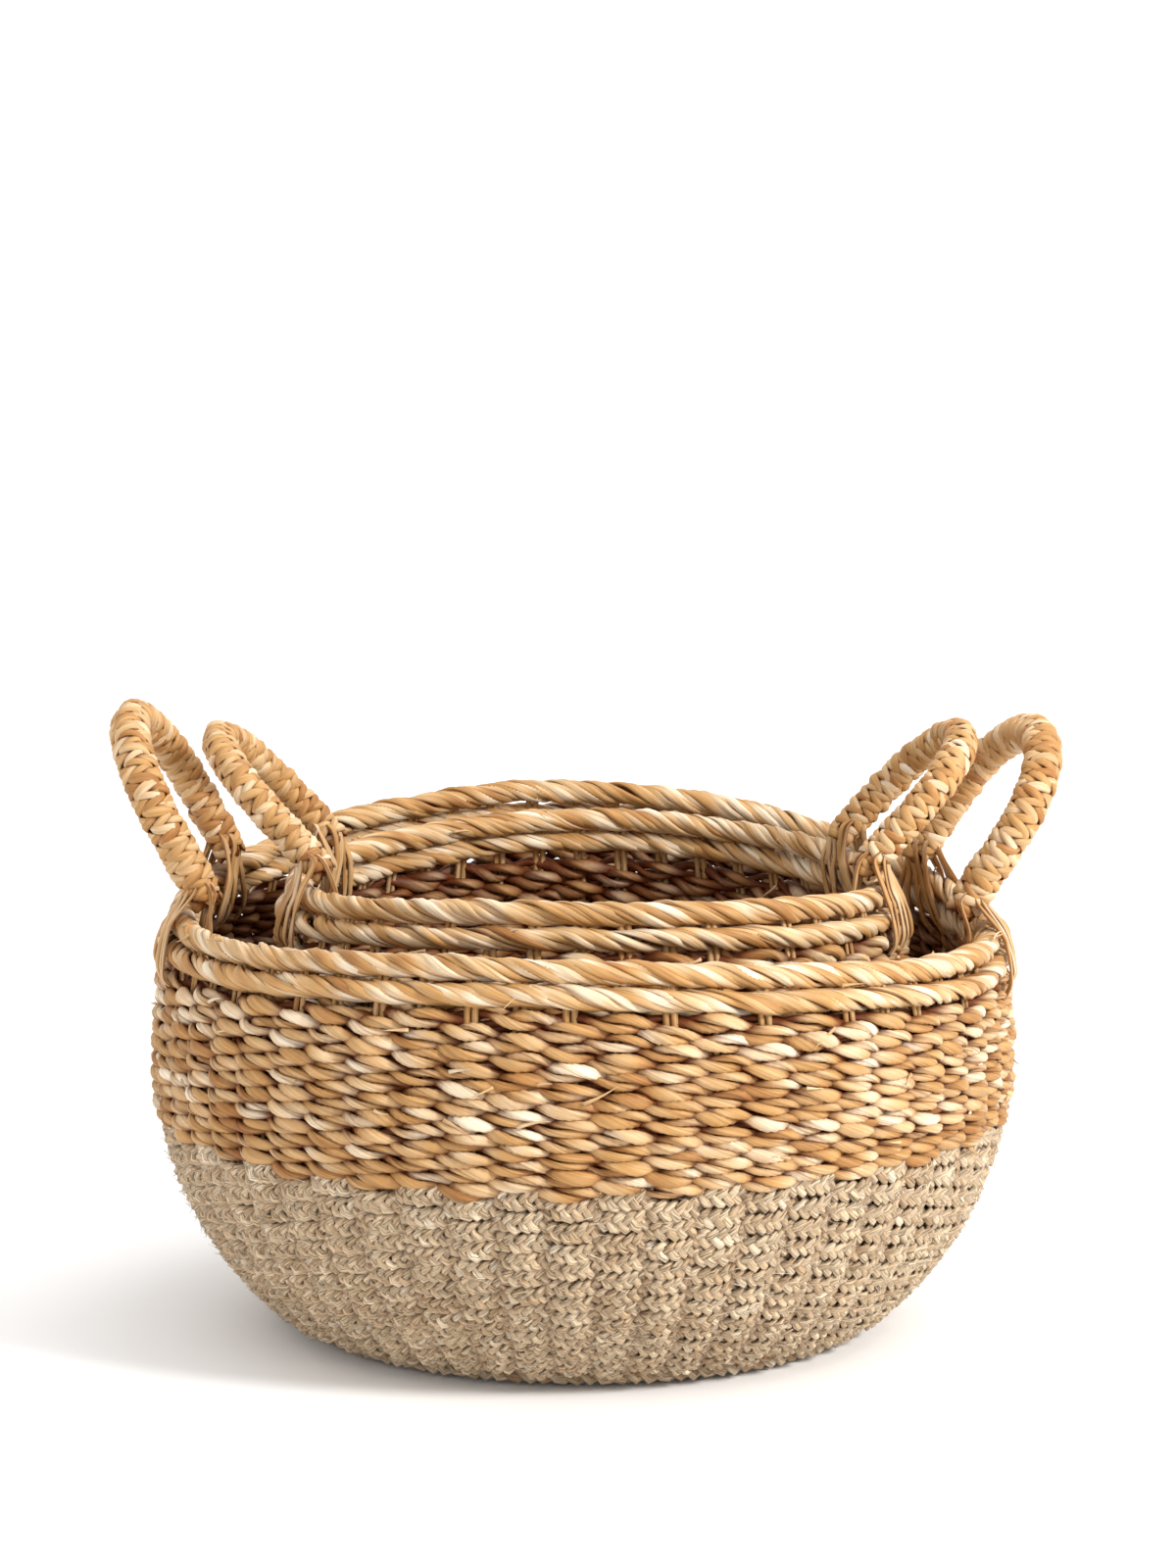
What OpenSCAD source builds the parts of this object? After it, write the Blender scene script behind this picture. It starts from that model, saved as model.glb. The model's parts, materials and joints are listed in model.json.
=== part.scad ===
// Nesting pair of round seagrass and jute baskets with lashed loop handles.
// The large basket stands on the floor and the small one stands inside it.
// Frame: millimetres, +Z up, origin at the centre of the large basket's resting face,
// +X towards the right handle.

/* [Large basket] */
// Outer radius at the widest point of the belly
outer_belly_r = 225; // [190:1:280]
// Height of the widest point above the floor
outer_belly_h = 141; // [110:1:170]
// How far the base edge draws in from the belly
outer_base_in = 70; // [50:1:90]
// How far the rim draws in from the belly
outer_neck_in = 18; // [8:1:30]
// Height of the rim at the middle of the front and back
outer_rim_h = 239; // [190:1:290]
// Height at which the jute weave stops and the seagrass weave starts
outer_jute_h = 111; // [60:1:130]
// Number of upright stakes
outer_stakes_n = 55; // [41:2:75]
// How much lower the rim is at the two sides than at the front and back
outer_rim_bow = 24; // [6:1:32]
// How much higher the rim is at the back than at its middle height
outer_rim_back = 13; // [0:1:20]
// How much lower the rim is at the right than at the left, halved
outer_rim_side = 5; // [0:1:12]

/* [Small basket] */
// Gap between the small basket's belly and the large basket's mouth, all round
nest_gap = 15; // [8:1:40]
// How far the small basket's rim stands above the large one's
nest_proud = 5; // [0:1:30]
// Height of the widest point above its own resting face
inner_belly_h = 115; // [90:1:140]
// How far the base edge draws in from the belly
inner_base_in = 58; // [40:1:70]
// How far the rim draws in from the belly
inner_neck_in = 16; // [8:1:26]
// Height at which the jute weave stops and the seagrass weave starts
inner_jute_h = 96; // [50:1:110]
// Number of upright stakes
inner_stakes_n = 43; // [31:2:57]
// How much lower the rim is at the two sides than at the front and back
inner_rim_bow = 11; // [4:1:16]
// How far the small basket stands to the right of the large one's centre
inner_shift_x = 4; // [0:0.5:6]

/* [Weave] */
// Thickness of the twisted cord on each face of the stakes
cord_d = 8; // [5:0.5:10]
// Thickness of the flat strips that make a stake
stake_t = 4; // [2:0.5:5]
// Width of a stake
stake_w = 7; // [4:0.5:9]
// Thickness of the woven base
base_t = 12; // [8:1:18]
// Diameter of the rope along the very top of the rim
rope_d = 13; // [9:0.5:17]
// Diameter of the rope under it
collar_d = 12; // [8:0.5:16]

/* [Handles] */
// Distance between the feet of a large basket's handle
outer_handle_w = 100; // [84:1:122]
// Height of the large handle's middle line above its feet
outer_handle_l = 88; // [74:1:115]
// Thickness of the large handle over its wrap
outer_handle_d = 20; // [15:0.5:24]
// Distance between the feet of a small basket's handle
inner_handle_w = 98; // [80:1:112]
// Height of the small handle's middle line above its feet
inner_handle_l = 78; // [66:1:92]
// Thickness of the small handle over its wrap
inner_handle_d = 17.5; // [13:0.5:21]
// Diameter of the cane core inside each wrap
core_d = 8; // [5:0.5:10]
// Diameter of the rounded foot that each leg ends in
foot_d = 14; // [12:0.5:16]
// Height over which a leg widens from its foot to its full thickness
taper_h = 12; // [8:1:18]
// Outward lean of the large right handle, in degrees
outer_right_lean = 33; // [26:1:50]
// Outward lean of the large left handle, in degrees
outer_left_lean = 28; // [24:1:50]
// Outward lean of both small handles, in degrees
inner_lean = 43; // [15:1:44]

/* [Lashings] */
// Thickness of the bundle of strips
lashing_t = 2; // [1.5:0.25:3]
// Width of the bundle around the rim
lashing_w = 18; // [12:1:24]
// How far a lashing reaches down from the top of the rim
lashing_drop = 38; // [28:1:50]

/* [Hidden] */
fit_gap = 0.5;        // between pieces of one basket that only touch
core_gap = 0.25;      // between a core and its wrap
lashing_gap = 0.5;    // between a lashing and the rope it goes over
seat_gap = 0.3;       // between the small basket and the floor of the large one
skin_end = 6;         // jute left below the foot of each stake
mouth_steps = 72;     // facets round a rope
rope_sides = 10;      // facets round a rope's section
OUTER = 0;
INNER = 1;

wall_t = 2 * cord_d + stake_t;
stake_slot = stake_t / 2 + fit_gap;

// Both baskets, as [large, small]
belly_r = [outer_belly_r, outer_belly_r - outer_neck_in - wall_t - nest_gap];
belly_h = [outer_belly_h, inner_belly_h];
base_in = [outer_base_in, inner_base_in];
neck_in = [outer_neck_in, inner_neck_in];
seat_z = [0, base_t + seat_gap];
rim_h = [outer_rim_h, outer_rim_h + nest_proud - seat_z[INNER]];
jute_h = [outer_jute_h, inner_jute_h];
stakes_n = [outer_stakes_n, inner_stakes_n];
rim_bow = [outer_rim_bow, inner_rim_bow];
rim_back = [outer_rim_back, 0];
rim_side = [outer_rim_side, 0];
shift_x = [0, inner_shift_x];
handle_w = [outer_handle_w, inner_handle_w];
handle_l = [outer_handle_l, inner_handle_l];
handle_d = [outer_handle_d, inner_handle_d];

// Azimuth of the middle of each handle, and its lean, as [basket][right, left]
RIGHT = 0;
LEFT = 1;
handle_az = [[10, 177], [4, 179]];
handle_lean = [[outer_right_lean, outer_left_lean], [inner_lean, inner_lean]];
// The two ends of a handle, as the sign of its foot's azimuth step
FRONT = [-1, 1];
BACK = [1, -1];

// ---- Wall profile: one arc from the base to the belly, one from the belly to the rim ----

function arc_r(rise, run) = (rise * rise + run * run) / (2 * run);
function low_r(k) = arc_r(belly_h[k], base_in[k]);
function high_r(k) = arc_r(rim_h[k] - belly_h[k], neck_in[k]);
// Middle lines of the wall
function low_mid(k) = low_r(k) - wall_t / 2;
function high_mid(k) = high_r(k) - wall_t / 2;
function low_centre(k) = belly_r[k] - low_r(k);
function high_centre(k) = belly_r[k] - high_r(k);
// Radius of the surface that lies off outside the wall's middle line, at height z
function wall_r(k, off, z) =
    z < belly_h[k]
    ? low_centre(k) + sqrt(pow(low_mid(k) + off, 2) - pow(z - belly_h[k], 2))
    : high_centre(k) + sqrt(pow(high_mid(k) + off, 2) - pow(z - belly_h[k], 2));
function base_angle(k) = -asin(belly_h[k] / low_r(k));
function rim_angle(k) = asin((rim_h[k] - belly_h[k]) / high_mid(k));
function jute_angle(k) = -asin((belly_h[k] - jute_h[k]) / low_r(k));

// ---- Rim surface: a wide tilted cylinder, so the sides dip and the back rises ----

function mouth_r(k) = wall_r(k, 0, rim_h[k]);
function bow_r(k) = arc_r(rim_bow[k], mouth_r(k)) * mouth_r(k) / rim_bow[k];
function bow_x(k) = -bow_r(k) * sin(atan(rim_side[k] / mouth_r(k)));
function back_angle(k) = atan(rim_back[k] / mouth_r(k));
function bow_top(k) = rim_h[k] * cos(back_angle(k)) - sqrt(pow(bow_r(k), 2) - pow(bow_x(k), 2));
function rim_z(k, x, y) =
    (bow_top(k) + sqrt(pow(bow_r(k), 2) - pow(x - bow_x(k), 2))) / cos(back_angle(k))
    + y * tan(back_angle(k));
function rim_z_at(k, az) = rim_z(k, mouth_r(k) * cos(az), mouth_r(k) * sin(az));

collar_drop = rope_d + fit_gap;
wall_drop = collar_drop + collar_d + fit_gap;

module under_rim(k, drop) {
    rotate([back_angle(k), 0, 0])
        translate([bow_x(k), 0, bow_top(k) - drop * cos(back_angle(k))])
            rotate([90, 0, 0])
                cylinder(r = bow_r(k), h = 4 * belly_r[k], center = true, $fn = 200);
}

// ---- Sections ----

module sector(reach, a0, a1) {
    polygon([
        [0, 0],
        2 * reach * [cos(a0), sin(a0)],
        2 * reach * [cos((a0 + a1) / 2), sin((a0 + a1) / 2)],
        2 * reach * [cos(a1), sin(a1)]
    ]);
}

// A slice of wall between the offsets lo and hi and the angles a0 and a1 about its arc's centre
module arc_slice(centre, z, radius, lo, hi, a0, a1) {
    translate([centre, z])
        intersection() {
            difference() {
                circle(r = radius + hi, $fn = 180);
                circle(r = radius + lo, $fn = 180);
            }
            sector(radius, a0, a1);
        }
}

module low_slice(k, lo, hi, a0, a1) {
    arc_slice(low_centre(k), belly_h[k], low_mid(k), lo, hi, a0, a1);
}

module high_slice(k, lo, hi, a1) {
    arc_slice(high_centre(k), belly_h[k], high_mid(k), lo, hi, 0, a1);
}

module place(k) {
    translate([shift_x[k], 0, seat_z[k]])
        children();
}

// ---- Woven pieces ----

// Flat bottom, with a cone-shaped edge that meets the lowest turn of the wall
module base(k) {
    foot_r = belly_r[k] - base_in[k];
    gap = fit_gap / sin(-base_angle(k));
    color("burlywood")
        place(k)
            rotate_extrude($fn = 120)
                polygon([
                    [0, 0],
                    [foot_r - gap, 0],
                    [foot_r - gap - base_t / tan(-base_angle(k)), base_t],
                    [0, base_t]
                ]);
}

// Lower wall: one skin of jute braid outside the stakes and one inside, which turns out below
// the feet of the stakes
module jute_band(k) {
    end_step = skin_end / low_mid(k) * 180 / PI;
    color("tan")
        place(k) {
            rotate_extrude($fn = 120)
                low_slice(k, stake_slot, wall_t / 2, base_angle(k), jute_angle(k));
            rotate_extrude($fn = 120) {
                low_slice(k, -wall_t / 2, -stake_slot, base_angle(k), jute_angle(k));
                low_slice(
                    k, -wall_t / 2, stake_slot - fit_gap,
                    base_angle(k), base_angle(k) + end_step
                );
            }
        }
}

// Upper wall: one skin of seagrass cord outside the stakes and one inside
module seagrass_band(k) {
    gap_step = fit_gap / low_mid(k) * 180 / PI;
    color("peru")
        place(k)
            intersection() {
                rotate_extrude($fn = 120)
                    for (skin = [[stake_slot, wall_t / 2], [-wall_t / 2, -stake_slot]]) {
                        low_slice(k, skin[0], skin[1], jute_angle(k) + gap_step, 0);
                        high_slice(k, skin[0], skin[1], rim_angle(k));
                    }
                under_rim(k, wall_drop);
            }
}

// Flat strips that run up the middle of the wall from just above the base
module stakes(k) {
    start = base_angle(k) + (skin_end + fit_gap) / low_mid(k) * 180 / PI;
    hub = 0.6 * (belly_r[k] - base_in[k]);
    color("sienna")
        place(k)
            intersection() {
                rotate_extrude($fn = 120) {
                    low_slice(k, -stake_t / 2, stake_t / 2, start, 0);
                    high_slice(k, -stake_t / 2, stake_t / 2, rim_angle(k));
                }
                for (i = [0 : stakes_n[k] - 1])
                    rotate([0, 0, i * 360 / stakes_n[k]])
                        translate([hub, -stake_w / 2, 0])
                            cube([belly_r[k], stake_w, 2 * rim_h[k]]);
                under_rim(k, wall_drop);
            }
}

// ---- Ropes of the rim ----

function ring_point(k, az, drop, d, a) =
    let (z = rim_z_at(k, az) - drop - d / 2, r = wall_r(k, 0, z) + d / 2 * cos(a))
    [r * cos(az), r * sin(az), z + d / 2 * sin(a)];

module ring_rope(k, drop, d) {
    points = [
        for (i = [0 : mouth_steps - 1], j = [0 : rope_sides - 1])
            ring_point(k, i * 360 / mouth_steps, drop, d, j * 360 / rope_sides)
    ];
    faces = [
        for (i = [0 : mouth_steps - 1], j = [0 : rope_sides - 1])
            let (i2 = (i + 1) % mouth_steps, j2 = (j + 1) % rope_sides)
            [i * rope_sides + j, i * rope_sides + j2, i2 * rope_sides + j2, i2 * rope_sides + j]
    ];
    place(k)
        polyhedron(points = points, faces = faces, convexity = 6);
}

module rim_rope(k) {
    color("goldenrod")
        ring_rope(k, 0, rope_d);
}

module collar_rope(k) {
    color("darkgoldenrod")
        ring_rope(k, collar_drop, collar_d);
}

// ---- Handles: a cane core in a seagrass wrap, narrowing to a round foot at each end ----

function foot_az(k, side, end) =
    handle_az[k][side] + end[side] * asin(handle_w[k] / 2 / mouth_r(k));
// The angle round the rim that a lashing takes up, and the highest point of the rope under it
function lashing_turn(k) = lashing_w / mouth_r(k) * 180 / PI;
function lashed_z(k, az) =
    max([for (s = [-0.5 : 0.25 : 0.5]) rim_z_at(k, az + s * lashing_turn(k))]);
function foot_point(k, side, end) =
    let (az = foot_az(k, side, end))
    [
        mouth_r(k) * cos(az),
        mouth_r(k) * sin(az),
        lashed_z(k, az) + lashing_gap + lashing_t + fit_gap + foot_d / 2
    ];
// From the foot with the lower azimuth to the one with the higher
function chord(k, side) =
    side == RIGHT
    ? foot_point(k, side, BACK) - foot_point(k, side, FRONT)
    : foot_point(k, side, FRONT) - foot_point(k, side, BACK);
function chord_mid(k, side) = (foot_point(k, side, FRONT) + foot_point(k, side, BACK)) / 2;
function loop_half(k, side) = norm(chord(k, side)) / 2;

// Puts its children at a handle: Y along the feet, Z up the loop, X outwards
module at_handle(k, side) {
    tilt = asin(chord(k, side)[2] / norm(chord(k, side)));
    place(k)
        translate(chord_mid(k, side))
            rotate([0, 0, handle_az[k][side]])
                rotate([tilt, 0, 0])
                    rotate([0, handle_lean[k][side], 0])
                        children();
}

// The loop's tube: two legs that start at the height low, and half a ring over them
module loop_tube(k, side, d, low) {
    half = loop_half(k, side);
    leg_h = handle_l[k] - half;
    for (s = [-1, 1])
        translate([0, s * half, low])
            cylinder(d = d, h = leg_h - low, $fn = 48);
    translate([0, 0, leg_h])
        rotate([0, 90, 0])
            rotate([0, 0, 90])
                rotate_extrude(angle = 180, $fn = 96)
                    translate([half, 0])
                        circle(d = d, $fn = 48);
}

module handle_core(k, side) {
    color("saddlebrown")
        at_handle(k, side)
            loop_tube(k, side, core_d, -foot_d / 4);
}

module handle_wrap(k, side) {
    color("goldenrod")
        at_handle(k, side)
            difference() {
                union() {
                    loop_tube(k, side, handle_d[k], taper_h);
                    for (s = [-1, 1])
                        translate([0, s * loop_half(k, side), 0]) {
                            sphere(d = foot_d, $fn = 48);
                            cylinder(d1 = foot_d, d2 = handle_d[k], h = taper_h, $fn = 48);
                        }
                }
                loop_tube(k, side, core_d + 2 * core_gap, -foot_d);
            }
}

// ---- Lashings: a bundle of strips over the rim under each foot ----

module lashing(k, side, end) {
    az = foot_az(k, side, end);
    top = lashed_z(k, az);
    near = wall_t / 2 + fit_gap;
    far = near + lashing_t;
    steps = 6;
    heights = [for (i = [0 : steps]) top - lashing_drop + i * lashing_drop / steps];
    outside = [for (z = heights) [wall_r(k, far, z), z]];
    inside = [for (z = heights) [wall_r(k, -far, z), z]];
    outside_back = [for (z = heights) [wall_r(k, near, z), z]];
    inside_back = [for (z = heights) [wall_r(k, -near, z), z]];
    up = lashing_gap + lashing_t;
    shoulder = lashing_t;
    turn = lashing_turn(k);
    color("wheat")
        place(k)
            rotate([0, 0, az - turn / 2])
                rotate_extrude(angle = turn, $fn = 120)
                    polygon(concat(
                        outside,
                        [[outside[steps][0] - shoulder, top + up],
                         [inside[steps][0] + shoulder, top + up]],
                        [for (i = [steps : -1 : 0]) inside[i]],
                        inside_back,
                        [[inside_back[steps][0] + lashing_gap, top + lashing_gap],
                         [outside_back[steps][0] - lashing_gap, top + lashing_gap]],
                        [for (i = [steps : -1 : 0]) outside_back[i]]
                    ));
}

base(OUTER);  // outer_base
jute_band(OUTER);  // outer_jute_band
seagrass_band(OUTER);  // outer_seagrass_band
stakes(OUTER);  // outer_stakes
collar_rope(OUTER);  // outer_collar_rope
rim_rope(OUTER);  // outer_rim_rope
handle_core(OUTER, RIGHT);  // outer_right_handle_core
handle_wrap(OUTER, RIGHT);  // outer_right_handle_wrap
handle_core(OUTER, LEFT);  // outer_left_handle_core
handle_wrap(OUTER, LEFT);  // outer_left_handle_wrap
lashing(OUTER, RIGHT, FRONT);  // outer_right_front_lashing
lashing(OUTER, RIGHT, BACK);  // outer_right_back_lashing
lashing(OUTER, LEFT, FRONT);  // outer_left_front_lashing
lashing(OUTER, LEFT, BACK);  // outer_left_back_lashing
base(INNER);  // inner_base
jute_band(INNER);  // inner_jute_band
seagrass_band(INNER);  // inner_seagrass_band
stakes(INNER);  // inner_stakes
collar_rope(INNER);  // inner_collar_rope
rim_rope(INNER);  // inner_rim_rope
handle_core(INNER, RIGHT);  // inner_right_handle_core
handle_wrap(INNER, RIGHT);  // inner_right_handle_wrap
handle_core(INNER, LEFT);  // inner_left_handle_core
handle_wrap(INNER, LEFT);  // inner_left_handle_wrap
lashing(INNER, RIGHT, FRONT);  // inner_right_front_lashing
lashing(INNER, RIGHT, BACK);  // inner_right_back_lashing
lashing(INNER, LEFT, FRONT);  // inner_left_front_lashing
lashing(INNER, LEFT, BACK);  // inner_left_back_lashing
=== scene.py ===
# %% [markdown]
# # A nesting pair of seagrass and jute baskets
#
# Two round-bellied baskets stand one in the other. Each is woven over upright stakes: jute cord
# below the belly, golden seagrass cord above it, two twisted ropes round the rim and a plaited
# loop handle on each side. The CAD model fixes every size and every joint, so this lesson only
# makes what the eye sees: each real cord, strand and strip, laid where the CAD solid is.
#
# The first step loads the CAD model and keeps its box, so that the looks can be compared with it.

import json
import math

import bmesh
import bpy
import numpy as np
from mathutils import Matrix, Vector

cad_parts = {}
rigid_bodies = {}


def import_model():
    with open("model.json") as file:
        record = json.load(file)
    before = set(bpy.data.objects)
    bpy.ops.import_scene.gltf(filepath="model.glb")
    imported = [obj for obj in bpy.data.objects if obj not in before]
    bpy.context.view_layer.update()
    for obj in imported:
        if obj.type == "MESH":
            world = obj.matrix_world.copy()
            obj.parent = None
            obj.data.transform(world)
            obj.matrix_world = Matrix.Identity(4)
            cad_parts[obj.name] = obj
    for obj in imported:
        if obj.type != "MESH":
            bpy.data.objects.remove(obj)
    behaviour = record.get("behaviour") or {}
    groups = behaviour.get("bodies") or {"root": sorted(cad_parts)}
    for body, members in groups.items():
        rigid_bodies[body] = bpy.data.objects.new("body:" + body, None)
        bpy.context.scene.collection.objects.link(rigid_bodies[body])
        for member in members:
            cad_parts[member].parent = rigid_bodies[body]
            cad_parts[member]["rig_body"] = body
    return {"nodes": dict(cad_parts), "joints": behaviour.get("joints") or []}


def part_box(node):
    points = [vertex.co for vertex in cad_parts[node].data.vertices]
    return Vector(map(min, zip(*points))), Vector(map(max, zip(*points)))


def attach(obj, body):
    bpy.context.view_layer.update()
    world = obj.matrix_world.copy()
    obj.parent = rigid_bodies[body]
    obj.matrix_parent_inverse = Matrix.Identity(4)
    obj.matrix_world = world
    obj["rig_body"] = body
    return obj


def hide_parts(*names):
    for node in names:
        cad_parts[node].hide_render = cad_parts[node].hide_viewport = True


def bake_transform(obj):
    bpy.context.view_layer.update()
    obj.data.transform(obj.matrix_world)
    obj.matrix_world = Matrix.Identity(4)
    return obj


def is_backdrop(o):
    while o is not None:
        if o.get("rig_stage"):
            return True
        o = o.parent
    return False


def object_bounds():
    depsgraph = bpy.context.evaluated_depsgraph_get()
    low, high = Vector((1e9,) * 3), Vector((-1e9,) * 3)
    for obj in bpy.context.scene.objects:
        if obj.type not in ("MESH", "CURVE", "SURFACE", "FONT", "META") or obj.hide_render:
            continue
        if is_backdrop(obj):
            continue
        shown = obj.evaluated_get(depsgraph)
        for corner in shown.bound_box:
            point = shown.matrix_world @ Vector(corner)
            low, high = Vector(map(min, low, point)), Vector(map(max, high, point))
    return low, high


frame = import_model()
cad_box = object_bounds()
print("CAD box:", [[round(c, 3) for c in corner] for corner in cad_box])

# %% [markdown]
# ## Camera
#
# The pair is looked at from the front and a little above, with a long lens from a few metres
# away, so that the rims show as flat ovals. A camera is aimed by turning it: one that is not
# turned looks straight down, so level is a quarter turn about X, less the angle it dips by.

# %% Camera
camera_data = bpy.data.cameras.new("camera")
camera_data.lens = 115.2
camera_data.sensor_width = 36.0
camera_data.clip_end = 50.0
camera = bpy.data.objects.new("camera", camera_data)
camera.location = (0.0, -2.543, 0.661)
camera.rotation_euler = (math.radians(90.0 - 8.55), 0.0, math.radians(-0.06))
bpy.context.scene.collection.objects.link(camera)
bpy.context.scene.camera = camera
print("camera is", round(camera.location.length, 2), "m from the floor's centre")

# %% [markdown]
# ## Floor and light
#
# A real product table is a sheet of pale card, lit by large soft lamps. One big plane is enough
# for the card. Three area lamps do the lighting: the large key from the front right, a weaker one
# from the left and one from above and behind for the rim. The white world fills the shadows. The
# Standard view keeps straw colours as strong as the materials make them.

# %% Floor
FLOOR_HALF = 12.0
floor_mesh = bpy.data.meshes.new("floor")
bm = bmesh.new()
bmesh.ops.create_grid(bm, x_segments=1, y_segments=1, size=FLOOR_HALF)
bm.to_mesh(floor_mesh)
bm.free()
floor = bpy.data.objects.new("floor", floor_mesh)
bpy.context.scene.collection.objects.link(floor)
floor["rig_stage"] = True

card = bpy.data.materials.new("white_card")
card.use_nodes = True
card_shader = card.node_tree.nodes["Principled BSDF"]
card_shader.inputs["Base Color"].default_value = (0.96, 0.96, 0.96, 1.0)
card_shader.inputs["Roughness"].default_value = 0.9
floor_mesh.materials.append(card)
print("floor is", 2 * FLOOR_HALF, "m across")

# %% Lamps
def lamp(name, place, target, size, watts, colour):
    """An area lamp at place, aimed at target."""
    data = bpy.data.lights.new(name, "AREA")
    data.shape = "DISK"
    data.size = size
    data.energy = watts
    data.color = colour
    item = bpy.data.objects.new(name, data)
    item.location = place
    item.rotation_euler = (Vector(target) - Vector(place)).to_track_quat("-Z", "Y").to_euler()
    bpy.context.scene.collection.objects.link(item)
    return item


lamp("key", (2.1, -1.5, 1.7), (0.0, 0.0, 0.15), 0.7, 80.0, (1.0, 0.99, 0.97))
lamp("fill", (-2.2, -1.6, 1.3), (0.0, 0.0, 0.15), 1.6, 2.5, (1.0, 0.9, 0.78))
lamp("top", (0.5, 0.3, 2.6), (0.0, 0.0, 0.2), 1.2, 14.0, (1.0, 1.0, 1.0))

world = bpy.data.worlds.new("studio")
world.use_nodes = True
world.node_tree.nodes["Background"].inputs["Color"].default_value = (1.0, 1.0, 1.0, 1.0)
world.node_tree.nodes["Background"].inputs["Strength"].default_value = 1.07
bpy.context.scene.world = world
bpy.context.scene.view_settings.view_transform = "Standard"

# %% [markdown]
# ## The form of each basket
#
# Seen from the side, the wall is two arcs: one from the base up to the belly and one from the
# belly in to the rim. The rim itself is not level, because hands pull it down at the handles, so
# its height is read from a wide, slightly tilted curve. These few numbers are the CAD model's, in
# metres; the sizes that a CAD solid shows directly are measured from it.

# %% Sizes shared by both baskets
MM = 0.001
WALL = 20 * MM            # the whole wall, cord outside and inside the stakes
ROPE = 13 * MM            # the rope on top of the rim
COLLAR = 12 * MM          # the rope under it
RIM_GAP = 0.5 * MM
UP = np.array((0.0, 0.0, 1.0))


def arc(rise, run):
    """Radius of the arc that rises and runs this much from where it is upright."""
    return (rise * rise + run * run) / (2 * run)


class Form:
    """The middle surface of one basket's wall, and the height of its rim."""

    def __init__(self, name, body, stakes, jute_turns, belly_h, base_in, neck_in, rim_h, jute_h,
                 bow, back, side):
        self.name, self.body, self.stakes, self.jute_turns = name, body, stakes, jute_turns
        low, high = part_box(name + "_base")
        self.middle = Vector(((low.x + high.x) / 2, 0.0, low.z))
        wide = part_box(name + "_seagrass_band")
        self.belly_r = (wide[1].x - wide[0].x) / 2
        self.belly_h, self.base_in, self.jute_h, self.rim_h = belly_h, base_in, jute_h, rim_h
        self.low_r = arc(belly_h, base_in) - WALL / 2
        self.high_r = arc(rim_h - belly_h, neck_in) - WALL / 2
        self.low_c = self.belly_r - WALL / 2 - self.low_r
        self.high_c = self.belly_r - WALL / 2 - self.high_r
        self.foot_angle = -math.asin(belly_h / (self.low_r + WALL / 2))
        self.jute_angle = -math.asin((belly_h - jute_h) / (self.low_r + WALL / 2))
        self.mouth = self.radius(rim_h, 0.0)
        self.bow_r = arc(bow, self.mouth) * self.mouth / bow
        self.bow_x = -self.bow_r * math.sin(math.atan(side / self.mouth))
        self.tilt = math.atan(back / self.mouth)
        self.bow_z = rim_h * math.cos(self.tilt) - math.sqrt(self.bow_r ** 2 - self.bow_x ** 2)

    def radius(self, z, out):
        """Radius of the surface that lies out from the wall's middle, at height z."""
        rise = np.asarray(z, float) - self.belly_h
        low = self.low_c + np.sqrt(np.maximum((self.low_r + out) ** 2 - rise ** 2, 0))
        high = self.high_c + np.sqrt(np.maximum((self.high_r + out) ** 2 - rise ** 2, 0))
        return np.where(rise < 0, low, high)

    def rim(self, turn):
        """Height of the top of the rim at an angle round the basket."""
        x, y = self.mouth * np.cos(turn), self.mouth * np.sin(turn)
        arch = np.sqrt(self.bow_r ** 2 - (x - self.bow_x) ** 2)
        return (self.bow_z + arch) / math.cos(self.tilt) + y * math.tan(self.tilt)

    def slope(self, z):
        """How far the wall's outward direction points above level, at height z."""
        low = np.arcsin(np.clip((z - self.belly_h) / self.low_r, -1, 1))
        high = np.arcsin(np.clip((z - self.belly_h) / self.high_r, -1, 1))
        return np.where(z < self.belly_h, low, high)

    def directions(self, turn, z):
        """Level outward, outward and upward directions of the wall at angles and heights."""
        beta = self.slope(z)
        radial = np.c_[np.cos(turn), np.sin(turn), np.zeros(len(turn))]
        outward = radial * np.cos(beta)[:, None] + UP * np.sin(beta)[:, None]
        up = UP * np.cos(beta)[:, None] - radial * np.sin(beta)[:, None]
        return radial, outward, up

    def depth(self, points):
        """Distance of points from the wall's middle surface."""
        p = points - np.array(self.middle)
        r, z = np.hypot(p[:, 0], p[:, 1]), p[:, 2] - self.belly_h
        low = np.hypot(r - self.low_c, z) - self.low_r
        high = np.hypot(r - self.high_c, z) - self.high_r
        return np.where(z < 0, low, high)


large = Form("outer", "large_basket", stakes=55, jute_turns=25, belly_h=141 * MM, base_in=70 * MM,
             neck_in=18 * MM, rim_h=239 * MM, jute_h=111 * MM, bow=24 * MM, back=13 * MM,
             side=5 * MM)
small = Form("inner", "small_basket", stakes=43, jute_turns=21, belly_h=115 * MM, base_in=58 * MM,
             neck_in=16 * MM, rim_h=231.7 * MM, jute_h=96 * MM, bow=11 * MM, back=0.0, side=0.0)
for form in (large, small):
    print(form.name, "belly", round(form.belly_r, 4), "mouth", round(float(form.mouth), 4),
          "rim front", round(float(form.rim(-math.pi / 2)), 4))
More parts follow.
